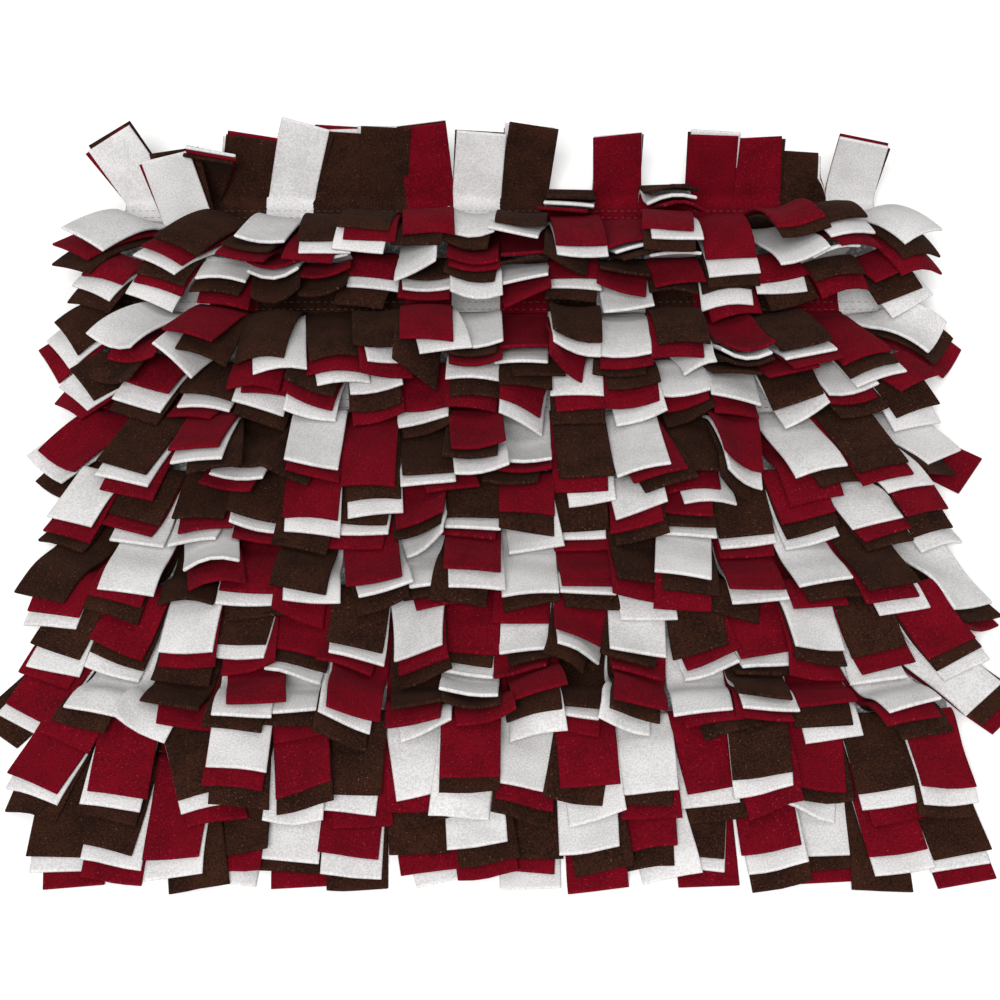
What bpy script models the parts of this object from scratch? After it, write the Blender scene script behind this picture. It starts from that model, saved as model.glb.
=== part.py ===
# Snuffle mat: fleece strips sewn by their middles, in rows, to a flat base cloth.
# A bundle is three strips, one of each colour. Both of its halves fall towards the front of the mat (-Y),
# and each row lies on the one before it. Most of the last row's back halves stand along the back edge.
# Metres, +Z up, origin at the centre of the base cloth's underside.

import itertools
import math
import random

import bmesh
import bpy
import numpy as np
from mathutils import Vector

# Base cloth
BASE_WIDTH = 0.460
BASE_DEPTH = 0.430
BASE_THICK = 0.002
BASE_CORNER = 0.006
BASE_CORNER_STEPS = 3

# Bundles and their seams
ROWS = 6
COLUMNS = 16
ROW_PITCH = 0.078
COLUMN_PITCH = 0.0285
BUNDLE_WIDTH = 0.0273
BUNDLE_THICK = 0.0080  # three plies of fleece, lying together
BACK_LENGTH = 0.073  # of a back half, from the seam's edge to the tip
TIP_STEP = 0.008  # how far the lowest ply reaches past the top one
SEAM_DEPTH = 0.010  # the sewn band, front to back
SEAM_THICK = 0.0040  # the plies are pressed together under the stitches
SWELL_LENGTH = 0.016  # past the seam the bundle swells to its full thickness
REST_GAP = 0.0003  # between pieces that lie face to face
CLEARANCE = 0.0015  # between bundles

# How cloth bends, in metres of radius
RISE_RADIUS = 0.009
DROOP_RADIUS = 0.040
STRAIGHT_LENGTH = 0.012  # a bundle runs straight out of its seam or fold this far
TURN_LENGTH = 0.020  # and then turns to its own heading over this length
ROLL_MOST = 0.22
ROLL_STEP = 0.03

# Rows from the front. front: length of the front halves. rise: how steeply they leave the seam, in degrees.
# fold: radius of the back halves' fold over the seam. leave: slope at which they leave that fold.
# fan: how far the outermost bundles turn outwards. drift: how far all of them turn to the right.
ROW_LAY = [
    {"front": 0.073, "rise": 0, "fold": 0.0062, "leave": -3, "fan": 8, "drift": 0.0},
    {"front": 0.083, "rise": 6, "fold": 0.0064, "leave": 1, "fan": 26, "drift": 0.5},
    {"front": 0.084, "rise": 11, "fold": 0.0070, "leave": 7, "fan": 26, "drift": 1.0},
    {"front": 0.085, "rise": 18, "fold": 0.0084, "leave": 15, "fan": 28, "drift": 1.0},
    {"front": 0.086, "rise": 30, "fold": 0.0105, "leave": 22, "fan": 30, "drift": 0.5},
    {"front": 0.085, "rise": 46, "fold": 0.0105, "leave": 8, "fan": 30, "drift": 0.0},
]
# The last row's back halves that stand, by column. lean: degrees up from flat. sway: degrees to the right
# in the bundle's own plane. colours: first letters, from the front. The other two fold forward.
STANDING = {
    0: {"lean": 62, "length": 0.058, "sway": -24, "colours": "wrb"},
    1: {"lean": 84, "length": 0.056, "sway": 0, "colours": "brw"},
    2: {"lean": 76, "length": 0.053, "sway": 0, "colours": "brw"},
    3: {"lean": 70, "length": 0.061, "sway": 0, "colours": "wbr"},
    4: {"lean": 76, "length": 0.056, "sway": 0, "colours": "brw"},
    5: {"lean": 70, "length": 0.057, "sway": 0, "colours": "bwr"},
    6: {"lean": 76, "length": 0.060, "sway": 0, "colours": "rbw"},
    7: {"lean": 70, "length": 0.054, "sway": 0, "colours": "wbr"},
    8: {"lean": 76, "length": 0.057, "sway": 0, "colours": "bwr"},
    10: {"lean": 74, "length": 0.054, "sway": 0, "colours": "rwb"},
    12: {"lean": 76, "length": 0.056, "sway": 0, "colours": "rwb"},
    13: {"lean": 69, "length": 0.050, "sway": 0, "colours": "rbw"},
    14: {"lean": 48, "length": 0.042, "sway": 0, "colours": "bwr"},
    15: {"lean": 76, "length": 0.053, "sway": 8, "colours": "wbr"},
}
FAN_POWER = 2  # the turn outwards grows this steeply towards the sides, and keeps its sign
YAW_SPREAD = 3.0  # degrees, about a bundle's row heading
RISE_SPREAD = 6
RISE_STAGGER = 3  # every other bundle stands a little higher, so that neighbours pass over each other
FOLD_SPREAD = 0.0003
FOLD_STAGGER = 0.0007
LENGTH_SPREAD = 0.003
SEED = 8

# Sections along a bundle, as shares of its length
LAID_SHARES = [0.0, 0.14, 0.34, 0.56, 0.78, 1.0]
FOLD_STEPS = 4
AFTER_FOLD_SHARES = [0.46, 1.0]
STAND_STEPS = 3
STAND_SHARES = [0.3, 1.0]

# Height map of the cloth laid so far
STEP = 0.0025
CELL = 0.0005
MAP_HALF = 0.36
AHEAD = 24  # steps that a bundle looks ahead for what it has to pass over
ACROSS = 27
EDGE_MARGIN = 0.0003  # looked at past a bundle's edges
LIFT_ROUNDS = 3
LIFT_SAMPLES = 24
FILL_PITCH = 0.7 * CELL  # close enough to miss no cell under a bundle
NEARLY_SQUARE = 0.99  # the dot product of two directions that count as the same

BASE_COLOUR = (0.40, 0.43, 0.41, 1.0)
FLEECE_COLOURS = {
    "white_fleece": (0.72, 0.72, 0.70, 1.0),
    "red_fleece": (0.22, 0.004, 0.012, 1.0),
    "brown_fleece": (0.040, 0.016, 0.009, 1.0),
}
FLEECE_ROUGHNESS = 0.95
BASE_ROUGHNESS = 0.9
COLOUR_SEED = 5


def make_material(name, colour, roughness):
    material = bpy.data.materials.new(name)
    material.use_nodes = True
    shader = material.node_tree.nodes["Principled BSDF"]
    shader.inputs["Base Color"].default_value = colour
    shader.inputs["Roughness"].default_value = roughness
    shader.inputs["Metallic"].default_value = 0.0
    return material


def add_object(name, bm, materials, collection):
    mesh = bpy.data.meshes.new(name)
    bm.to_mesh(mesh)
    bm.free()
    for material in materials:
        mesh.materials.append(material)
    made = bpy.data.objects.new(name, mesh)
    collection.objects.link(made)
    return made


class HeightMap:
    """The height of whatever lies on top at each place, in a square of small cells."""

    def __init__(self):
        count = int(2 * MAP_HALF / CELL)
        self.top = np.full((count, count), REST_GAP - CLEARANCE)
        low_x, high_x = self.cell(np.array([-BASE_WIDTH / 2, BASE_WIDTH / 2]))
        low_y, high_y = self.cell(np.array([-BASE_DEPTH / 2, BASE_DEPTH / 2]))
        base_top = BASE_THICK + REST_GAP - CLEARANCE
        self.top[low_x : high_x + 1, low_y : high_y + 1] = base_top

    def cell(self, value):
        return ((value + MAP_HALF) / CELL).astype(int)

    def at(self, x, y):
        return self.top[self.cell(x), self.cell(y)]

    def raise_to(self, corners):
        """Fills the map under a strip, given its left and right upper corners at each section."""
        for (left, right), (next_left, next_right) in zip(corners, corners[1:]):
            long = max((next_left - left).length, (next_right - right).length)
            along = np.linspace(0, 1, 2 + int(long / FILL_PITCH))[:, None, None]
            across = np.linspace(0, 1, 2 + int(BUNDLE_WIDTH / FILL_PITCH))[None, :, None]
            near = np.array(left) * (1 - across) + np.array(right) * across
            far = np.array(next_left) * (1 - across) + np.array(next_right) * across
            points = (near * (1 - along) + far * along).reshape(-1, 3)
            cells = (self.cell(points[:, 0]), self.cell(points[:, 1]))
            np.maximum.at(self.top, cells, points[:, 2])


class Section:
    """One cross-section of a bundle: its middle, its axes and its thickness."""

    def __init__(self, middle, along, across, thick):
        self.middle = middle
        self.along = along
        self.half_width = across * BUNDLE_WIDTH / 2
        self.half_thick = along.cross(across).normalized() * thick / 2

    def corner(self, side, face):
        return self.middle + self.half_width * side + self.half_thick * face


def thickness(distance):
    share = min(1.0, distance / SWELL_LENGTH)
    return SEAM_THICK + (BUNDLE_THICK - SEAM_THICK) * share


def axes(slope, yaw, roll, facing):
    forward = Vector((math.sin(yaw), -math.cos(yaw), 0)) * facing
    sideways = Vector((math.cos(yaw), math.sin(yaw), 0)) * facing
    along = forward * math.cos(slope) + Vector((0, 0, math.sin(slope)))
    across = sideways * math.cos(roll) + Vector((0, 0, math.sin(roll)))
    return along, across - along * along.dot(across)


def fold_over(start, radius, leave):
    """Sections round the fold: back out of the seam, up, and over towards the front."""
    turn = math.pi - leave
    sections = []
    for i in range(FOLD_STEPS + 1):
        angle = turn * i / FOLD_STEPS
        middle = start + Vector((0, math.sin(angle), 1 - math.cos(angle))) * radius
        along, across = axes(math.pi - angle, 0, 0, 1)
        sections.append(Section(middle, along, across.normalized(), thickness(angle * radius)))
    return sections, turn * radius


def stand_up(start, half):
    """Sections of a bundle that bends up from its seam, leans back at a slope and may sway sideways."""
    bend = half.rise * RISE_RADIUS
    distances = [bend * i / STAND_STEPS for i in range(STAND_STEPS + 1)]
    distances += [bend + (half.length - bend) * share for share in STAND_SHARES]
    place, sections = start.copy(), []
    before, sway_before = 0.0, 0.0
    for distance in distances:
        sway = half.sway if distance > bend else 0.0
        mean_slope = min(half.rise, (before + distance) / 2 / RISE_RADIUS)
        place = place + swayed(mean_slope, (sway_before + sway) / 2)[0] * (distance - before)
        along, across = swayed(min(half.rise, distance / RISE_RADIUS), sway)
        sections.append(Section(place, along, across, thickness(distance)))
        before, sway_before = distance, sway
    return sections


def swayed(slope, sway):
    """Axes of a bundle that leans back, turned to the right in its own plane."""
    along, across = axes(slope, 0, 0, -1)
    turned = along * math.cos(sway) - across * math.sin(sway)
    return turned, across * math.cos(sway) + along * math.sin(sway)


def needed_heights(height_map, place, yaw, roll, thick):
    """The heights that the middle of a bundle has to reach, at each step ahead of a place."""
    ahead = np.arange(1, AHEAD + 1)[:, None] * STEP
    offset = np.linspace(-0.5, 0.5, ACROSS)[None, :] * (BUNDLE_WIDTH + 2 * EDGE_MARGIN)
    x = place.x + ahead * math.sin(yaw) + offset * math.cos(yaw)
    y = place.y - ahead * math.cos(yaw) + offset * math.sin(yaw)
    below = height_map.at(x, y)
    half = ACROSS // 2
    tilt = (below[:3, half + 1 :].mean() - below[:3, :half].mean()) / (BUNDLE_WIDTH / 2)
    clear = below - math.sin(roll) * offset
    return clear.max(axis=1) + CLEARANCE + thick / 2, tilt


def lay_down(height_map, start, slope, rise, half, begun):
    """Follows half a bundle from a place, over whatever lies below it, to its tip. With a rise, it
    first bends up to that slope."""
    place, distance, roll = start.copy(), begun, 0.0
    length = half.length
    track = [(distance, place.copy(), slope, 0.0, 0.0)]
    rising = rise is not None
    while distance < length - STEP / 2:
        share = (distance - begun - STRAIGHT_LENGTH) / TURN_LENGTH
        heading = half.yaw * min(1.0, max(0.0, share))
        thick = thickness(distance)
        heights, tilt = needed_heights(height_map, place, heading, roll, thick)
        if share > 0:
            target = max(-ROLL_MOST, min(ROLL_MOST, math.atan(tilt)))
            roll += max(-ROLL_STEP, min(ROLL_STEP, target - roll))
        left = min(AHEAD, 1 + int((length - distance) / STEP))
        reach = np.arange(1, left + 1) * STEP
        steepest = math.atan(((heights[:left] - place.z) / reach).max())
        if rising:
            slope = min(rise, slope + STEP / RISE_RADIUS)
            rising = slope < rise
        else:
            slope -= STEP / DROOP_RADIUS
        slope = max(slope, steepest)
        place = place + axes(slope, heading, roll, 1)[0] * STEP
        distance += STEP
        track.append((distance, place.copy(), slope, heading, roll))
    return track


def pick_sections(track, shares):
    """Sections of a laid bundle at shares of its track, each square to the track on both sides."""
    sections = []
    last = len(track) - 1
    picked = [round(share * last) for share in shares]
    for i, index in enumerate(picked):
        distance, middle, slope, heading, roll = track[index]
        before = track[picked[max(i - 1, 0)]][1]
        after = track[picked[min(i + 1, len(picked) - 1)]][1]
        along, across = axes(slope, heading, roll, 1)
        if index:
            along = (after - before).normalized()
        across = (across - along * along.dot(across)).normalized()
        sections.append(Section(middle, along, across, thickness(distance)))
    return sections


def lift_clear(height_map, sections, free_from):
    """Raises the free sections until the straight runs between them are clear of what lies below."""
    margin = EDGE_MARGIN / BUNDLE_WIDTH
    across = np.linspace(-margin, 1 + margin, ACROSS)[None, :, None]
    for _ in range(LIFT_ROUNDS):
        for i in range(free_from, len(sections)):
            near, far = sections[i - 1], sections[i]
            along = np.linspace(0, 1, LIFT_SAMPLES)[1:, None, None]
            ends = [
                np.array(s.corner(-1, -1)) * (1 - across) + np.array(s.corner(1, -1)) * across
                for s in (near, far)
            ]
            points = ends[0] * (1 - along) + ends[1] * along
            needed = height_map.at(points[..., 0], points[..., 1]) + CLEARANCE
            short = (needed - points[..., 2]).max()
            if short > 0:
                far.middle.z += short
                if i > free_from:
                    near.middle.z += short


def bundle_corners(sections):
    """The corners of every section, in one order, with the tip cut on a slant by the plies' steps."""
    rings = []
    for i, section in enumerate(sections):
        ring = {(side, face): section.corner(side, face) for side in (-1, 1) for face in (-1, 1)}
        if i == len(sections) - 1:
            for side in (-1, 1):
                ring[side, 1] = ring[side, 1] - section.along * TIP_STEP
        rings.append(ring)
    return rings


def note_heights(height_map, rings):
    upper = [(ring[-1, 1], ring[1, 1]) for ring in rings]
    lower = [(ring[-1, -1], ring[1, -1]) for ring in rings]
    height_map.raise_to(upper + lower[-1:])
    height_map.raise_to(lower)


def grow_bundle(bm, root, rings):
    """Extrudes a bundle from its root face on the seam, ring by ring."""
    keys = [min(rings[0], key=lambda k: (rings[0][k] - vert.co).length) for vert in root.verts]
    face = root
    for ring in rings[1:]:
        face = bmesh.ops.extrude_discrete_faces(bm, faces=[face])["faces"][0]
        for vert, key in zip(face.verts, keys):
            vert.co = ring[key]


def seam_band(y):
    """The sewn band of one row, with a face for each bundle's root at its front and back."""
    bm = bmesh.new()
    bmesh.ops.create_cube(bm, size=1)
    width = COLUMNS * COLUMN_PITCH
    low = BASE_THICK + REST_GAP
    for vert in bm.verts:
        vert.co.x *= width
        vert.co.y = y + vert.co.y * SEAM_DEPTH
        vert.co.z = low + (vert.co.z + 0.5) * SEAM_THICK
    for column in range(COLUMNS):
        for side in (-0.5, 0.5):
            walls = [f for f in bm.faces if abs(f.normal.y) > NEARLY_SQUARE]
            geom = walls + list({e for f in walls for e in f.edges})
            cut = Vector((column_x(column) + side * BUNDLE_WIDTH, 0, 0))
            bmesh.ops.bisect_plane(bm, geom=geom, dist=1e-6, plane_co=cut, plane_no=(1, 0, 0))
            bm.normal_update()
    return bm


def column_x(column):
    return (column - (COLUMNS - 1) / 2) * COLUMN_PITCH


def row_y(row):
    return (row - (ROWS - 1) / 2) * ROW_PITCH


def root_face(bm, column, from_back):
    """The face of the sewn band that a bundle's half grows from."""
    outward = Vector((0, 1 if from_back else -1, 0))
    walls = [face for face in bm.faces if face.normal.dot(outward) > NEARLY_SQUARE]
    return min(walls, key=lambda face: abs(face.calc_center_median().x - column_x(column)))


def colour_orders():
    """The order of each bundle's three colours, top ply first on its back half and last on its front
    half. Neighbours in a row differ in their top plies."""
    dice = random.Random(COLOUR_SEED)
    every = list(itertools.permutations(range(len(FLEECE_COLOURS))))
    rows = []
    for _ in range(ROWS):
        row = [dice.choice(every)]
        while len(row) < COLUMNS:
            last = row[-1]
            row.append(dice.choice([o for o in every if o[0] != last[0] and o[-1] != last[-1]]))
        rows.append(row)
    letters = [name[0] for name in FLEECE_COLOURS]
    for column, tab in STANDING.items():
        rows[-1][column] = tuple(letters.index(letter) for letter in reversed(tab["colours"]))
    return rows


class BundleHalf:
    """What chance and its place give one half of a bundle."""

    def __init__(self, row, column, from_back, dice):
        lay = ROW_LAY[row]
        outward = column_x(column) / column_x(COLUMNS - 1)
        fan = lay["fan"] * outward * abs(outward) ** FAN_POWER
        over = 1 if column % 2 else -1
        slope_error = over * RISE_STAGGER + dice.gauss(0, RISE_SPREAD)
        self.yaw = math.radians(fan + lay["drift"] + dice.gauss(0, YAW_SPREAD))
        length = BACK_LENGTH if from_back else lay["front"]
        self.length = length + dice.uniform(-1, 1) * LENGTH_SPREAD
        self.fold_radius = lay["fold"] + over * FOLD_STAGGER + dice.uniform(-1, 1) * FOLD_SPREAD
        self.leave = math.radians(lay["leave"] + slope_error)
        self.rise = math.radians(max(0, lay["rise"] + slope_error))
        self.stands = from_back and row == ROWS - 1 and column in STANDING
        self.folds = from_back and not self.stands
        if self.stands:
            self.length = STANDING[column]["length"]
            self.rise = math.radians(STANDING[column]["lean"])
            self.sway = math.radians(STANDING[column]["sway"])
        y = row_y(row) + (SEAM_DEPTH if from_back else -SEAM_DEPTH) / 2
        self.start = Vector((column_x(column), y, BASE_THICK + REST_GAP + SEAM_THICK / 2))

    def sections(self, height_map):
        if self.stands:
            return stand_up(self.start, self)
        if not self.folds:
            track = lay_down(height_map, self.start, 0, self.rise, self, 0)
            sections = pick_sections(track, LAID_SHARES)
            lift_clear(height_map, sections, 1)
            return sections
        folded, begun = fold_over(self.start, self.fold_radius, self.leave)
        track = lay_down(height_map, folded[-1].middle, self.leave, None, self, begun)
        sections = folded + pick_sections(track, AFTER_FOLD_SHARES)
        lift_clear(height_map, sections, len(folded))
        return sections


def strip_row(row, height_map, dice, orders, materials, collection):
    """A row of bundles: the front halves first, then the back halves on top of them."""
    bm = seam_band(row_y(row))
    in_turn = list(range(0, COLUMNS, 2)) + list(range(1, COLUMNS, 2))
    for from_back in (False, True):
        for column in in_turn:
            half = BundleHalf(row, column, from_back, dice)
            rings = bundle_corners(half.sections(height_map))
            root = root_face(bm, column, from_back)
            root.material_index = orders[column][0 if half.folds else -1]
            grow_bundle(bm, root, rings)
            note_heights(height_map, rings)
    bmesh.ops.triangulate(bm, faces=bm.faces)
    return add_object(f"strip_row_{row + 1}", bm, materials, collection)


def base_fabric(material, collection):
    """The flat base cloth, with slightly rounded corners."""
    bm = bmesh.new()
    bmesh.ops.create_cube(bm, size=1)
    bmesh.ops.scale(bm, vec=(BASE_WIDTH, BASE_DEPTH, BASE_THICK), verts=bm.verts)
    bmesh.ops.translate(bm, vec=(0, 0, BASE_THICK / 2), verts=bm.verts)
    upright = [e for e in bm.edges if abs(e.verts[0].co.z - e.verts[1].co.z) > BASE_THICK / 2]
    bmesh.ops.bevel(
        bm, geom=upright, offset=BASE_CORNER, segments=BASE_CORNER_STEPS, affect="EDGES", profile=0.5
    )
    return add_object("base_fabric", bm, [material], collection)


def main():
    for old in list(bpy.data.objects):
        bpy.data.objects.remove(old, do_unlink=True)
    collection = bpy.data.collections.new("snuffle_mat")
    bpy.context.scene.collection.children.link(collection)
    grey = make_material("anti_slip_cloth", BASE_COLOUR, BASE_ROUGHNESS)
    fleece = [make_material(n, c, FLEECE_ROUGHNESS) for n, c in FLEECE_COLOURS.items()]
    base_fabric(grey, collection)
    height_map = HeightMap()
    dice = random.Random(SEED)
    for row, orders in enumerate(colour_orders()):
        strip_row(row, height_map, dice, orders, fleece, collection)


main()
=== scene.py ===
import itertools
import math
import random

import bmesh
import bpy
import numpy as np
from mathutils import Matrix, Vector


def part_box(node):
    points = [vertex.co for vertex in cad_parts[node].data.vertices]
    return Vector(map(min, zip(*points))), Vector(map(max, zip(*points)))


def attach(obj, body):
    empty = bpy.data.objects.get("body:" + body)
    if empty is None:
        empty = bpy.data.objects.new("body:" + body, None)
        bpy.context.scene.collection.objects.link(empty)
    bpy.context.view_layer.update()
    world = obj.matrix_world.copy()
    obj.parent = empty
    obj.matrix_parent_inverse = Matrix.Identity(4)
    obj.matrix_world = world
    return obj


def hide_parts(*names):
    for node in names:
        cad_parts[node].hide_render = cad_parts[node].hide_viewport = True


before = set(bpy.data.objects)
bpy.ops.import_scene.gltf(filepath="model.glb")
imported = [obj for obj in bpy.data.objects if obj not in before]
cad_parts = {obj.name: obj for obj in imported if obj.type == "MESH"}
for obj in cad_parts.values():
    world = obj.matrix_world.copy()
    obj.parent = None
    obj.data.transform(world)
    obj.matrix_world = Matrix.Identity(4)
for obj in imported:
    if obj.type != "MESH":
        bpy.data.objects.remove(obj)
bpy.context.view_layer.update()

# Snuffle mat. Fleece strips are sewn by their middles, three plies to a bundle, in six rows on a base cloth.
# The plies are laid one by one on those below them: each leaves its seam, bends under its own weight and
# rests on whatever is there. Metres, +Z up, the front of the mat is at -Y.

seams = {
    "rows": 6,
    "columns": 16,
    "rowPitch": 0.078,
    "columnPitch": 0.0285,
    "depth": 0.010,  # of the sewn band, front to back
    "thick": 0.0040,  # three plies pressed together by the stitches
    "low": 0.0023,  # the underside of the band
}
strips = {
    "width": 0.0300,
    "thick": 0.0020,  # one ply of polar fleece, as it lies pressed by those above it
    "back": 0.073,  # from the seam's edge to the back tip; the front halves' lengths are with their rows
    "lowest": 0.0033,  # the lowest ply of a half is this much longer than its bundle
    "tipSpread": 0.0014,
    "swell": 0.016,  # past the seam a ply fills out to its full thickness
    "plyGap": 0.00030,
    "ownTurn": 2.2,  # degrees that the top ply turns away from its bundle
    "turnStep": 0.7,  # and each one below by this share more
    "skew": 0.06,  # how far out of square a strip is cut
    "patternSpan": 50,  # each strip takes its pile pattern from its own place in this span
    "colourSeed": 2065,
    "laySeed": 8,
    "plySeed": 3,
}
# Rows from the front, as the bundles of the solid model lie. front: length of the front halves. rise: degrees
# at which they leave the seam. reach: how far back the back halves lie before they fold. fold: radius of
# their fold. leave: degrees at which they leave it. fan: degrees that the outermost bundles turn outwards.
# drift: degrees that all of them turn to the right.
rowLay = [
    {"front": 0.072, "rise": 0, "reach": 0.004, "fold": 0.0056, "leave": -2, "fan": 8, "drift": 0.0},
    {"front": 0.084, "rise": 6, "reach": 0.005, "fold": 0.0060, "leave": 4, "fan": 26, "drift": 0.5},
    {"front": 0.086, "rise": 12, "reach": 0.006, "fold": 0.0070, "leave": 12, "fan": 26, "drift": 1.0},
    {"front": 0.089, "rise": 20, "reach": 0.007, "fold": 0.0085, "leave": 22, "fan": 28, "drift": 1.0},
    {"front": 0.091, "rise": 32, "reach": 0.008, "fold": 0.0105, "leave": 32, "fan": 30, "drift": 0.5},
    {"front": 0.092, "rise": 54, "reach": 0.0, "fold": 0.0100, "leave": 8, "fan": 30, "drift": 0.0},
]
# tipStep: each ply shows this much past the one above it. stiff: bending length of the cloth. curl: how
# strongly it is curled, per metre. arch: how much of that bends every tab down towards its tip.
rowCloth = [
    {"tipStep": 0.0066, "stiff": 0.012, "curl": 3, "arch": 0},
    {"tipStep": 0.0066, "stiff": 0.014, "curl": 5, "arch": 2},
    {"tipStep": 0.0062, "stiff": 0.020, "curl": 9, "arch": 4},
    {"tipStep": 0.0056, "stiff": 0.028, "curl": 14, "arch": 8},
    {"tipStep": 0.0046, "stiff": 0.036, "curl": 18, "arch": 12},
    {"tipStep": 0.0040, "stiff": 0.042, "curl": 20, "arch": 20},
]
# How much chance adds to a bundle's place, in degrees and metres. The staggers set every second one apart.
layChances = {
    "yaw": 3.0,
    "rise": 6,
    "stagger": 3,
    "foldSpread": 0.0003,
    "foldStagger": 0.0007,
    "length": 0.003,
}

# The last row's back halves stand along the back edge, each in its own way. lean: degrees up from flat.
# sway: degrees to the right in its own plane. turn: degrees of turn to the right, seen from above.
# bow: how strongly it bends forward, per metre. Those without an entry fold forward as in the other rows.
standing = {
    0: {"lean": 66, "sway": -30, "turn": -6, "length": 0.056, "bow": -2, "colours": "wrb"},
    1: {"lean": 84, "sway": 18, "turn": 16, "length": 0.072, "bow": 18, "colours": "brw"},
    2: {"lean": 76, "sway": 9, "turn": 0, "length": 0.052, "bow": 0, "colours": "brw"},
    3: {"lean": 72, "sway": 15, "turn": 8, "length": 0.059, "bow": -2, "colours": "wbr"},
    4: {"lean": 70, "sway": 3, "turn": 0, "length": 0.055, "bow": 0, "colours": "bwr"},
    5: {"lean": 74, "sway": 4, "turn": 0, "length": 0.056, "bow": 0, "colours": "brw"},
    6: {"lean": 70, "sway": -6, "turn": -4, "length": 0.059, "bow": -1, "colours": "rbw"},
    7: {"lean": 75, "sway": 2, "turn": 2, "length": 0.053, "bow": 0, "colours": "wbr"},
    8: {"lean": 70, "sway": 5, "turn": 4, "length": 0.056, "bow": 0, "colours": "bwr"},
    10: {"lean": 74, "sway": 0, "turn": -10, "length": 0.053, "bow": 1, "colours": "rwb"},
    12: {"lean": 76, "sway": 0, "turn": 3, "length": 0.055, "bow": 0, "colours": "rwb"},
    13: {"lean": 68, "sway": 3, "turn": -4, "length": 0.049, "bow": 0, "colours": "rbw"},
    14: {"lean": 56, "sway": -26, "turn": 48, "length": 0.036, "bow": 4, "colours": "bwr"},
    15: {"lean": 76, "sway": 9, "turn": 10, "length": 0.052, "bow": 6, "colours": "wbr"},
}
# One of the last row's front halves stands too, and leans over backwards.
standingFront = {1: {"lean": 108, "sway": -15, "turn": 0, "length": 0.064, "bow": 0}}
standingPlies = {
    "tipStep": -0.0008,  # each ply of a standing bundle is this much shorter than the one before it,
    "spread": 0.0024,  # give or take this much,
    "sway": 2.6,  # and sways by its own few degrees
}
# Tabs that lie in their own way, by row from the front, half and column from the left. turn: degrees to the
# right. along and across: curl per metre. length and fold: in metres. colours: the top ply first.
askew = {
    (1, "front", 15): {"turn": 13, "colours": "bwr"},
    (1, "back", 0): {"turn": -25, "length": 0.068, "colours": "rwb"},
    (1, "back", 2): {"turn": 16, "across": -22, "colours": "bwr"},
    (2, "front", 0): {"turn": -30, "along": 12, "across": 20, "length": 0.072},
    (2, "front", 1): {"turn": -20, "length": 0.088},
    (2, "front", 5): {"turn": 0, "length": 0.090},
    (2, "front", 11): {"turn": 4, "along": -4, "colours": "wrb"},
    (2, "front", 14): {"turn": 21},
    (2, "front", 15): {"turn": 44, "length": 0.068, "colours": "wbr"},
    (3, "front", 0): {"turn": -20, "length": 0.090},
    (3, "front", 1): {"turn": -13},
    (3, "front", 2): {"turn": 6, "along": 16, "across": -70, "colours": "wrb"},
    (4, "front", 0): {"turn": -40, "length": 0.066},
    (4, "front", 5): {"turn": 1, "length": 0.094},
    (4, "front", 6): {"turn": 4},
    (4, "front", 9): {"turn": 2},
    (4, "front", 10): {"turn": 3, "length": 0.095},
    (4, "front", 15): {"turn": 44, "length": 0.066},
    (4, "back", 0): {"turn": -50, "length": 0.062},
    (5, "front", 0): {"turn": -53, "length": 0.066},
    (5, "front", 1): {"turn": -25, "length": 0.096},
    (5, "front", 3): {"turn": -1, "length": 0.097},
    (5, "front", 4): {"turn": 9, "along": -30, "across": -40, "colours": "brw"},
    (5, "front", 6): {"turn": 0, "length": 0.098},
    (5, "front", 15): {"turn": 58, "length": 0.066},
    (5, "back", 7): {"along": -22, "fold": 0.0088},
    (6, "front", 0): {"turn": -32, "length": 0.086},
    (6, "front", 2): {"turn": -30, "length": 0.094},
    (6, "front", 3): {"turn": -13},
    (6, "front", 4): {"length": 0.099},
    (6, "front", 5): {"length": 0.104},
    (6, "front", 6): {"turn": 0, "length": 0.103},
    (6, "front", 9): {"length": 0.098},
    (6, "front", 11): {"length": 0.100},
    (6, "front", 13): {"length": 0.098},
    (6, "back", 9): {"fold": 0.0062, "colours": "bwr"},
    (6, "back", 11): {"fold": 0.0080, "across": -50, "colours": "bwr"},
}


def linear(hexColour):
    parts = [int(hexColour[i : i + 2], 16) / 255 for i in (1, 3, 5)]
    return tuple(p / 12.92 if p <= 0.04045 else ((p + 0.055) / 1.055) ** 2.4 for p in parts) + (1.0,)


def addNode(tree, kind, inputs=None, **settings):
    # adds a node, sets its fields, and fills its inputs with values or with other nodes' outputs
    node = tree.nodes.new(kind)
    for key, value in settings.items():
        setattr(node, key, value)
    for key, value in (inputs or {}).items():
        if isinstance(value, bpy.types.NodeSocket):
            tree.links.new(value, node.inputs[key])
        else:
            node.inputs[key].default_value = value
    return node


def newMaterial(name):
    material = bpy.data.materials.new(name)
    material.use_nodes = True
    material.node_tree.nodes.clear()
    return material, material.node_tree


def finishMaterial(tree, colour, height, look, more=None):
    # gives a material its relief and its surface, from the look's relief (strength, metres) and surface
    strength, distance = look["relief"]
    bump = addNode(tree, "ShaderNodeBump", {"Height": height, "Strength": strength, "Distance": distance})
    surface = {"Base Color": colour, "Normal": bump.outputs["Normal"], **look["surface"], **(more or {})}
    shader = addNode(tree, "ShaderNodeBsdfPrincipled", surface)
    addNode(tree, "ShaderNodeOutputMaterial", {"Surface": shader.outputs["BSDF"]})


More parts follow.
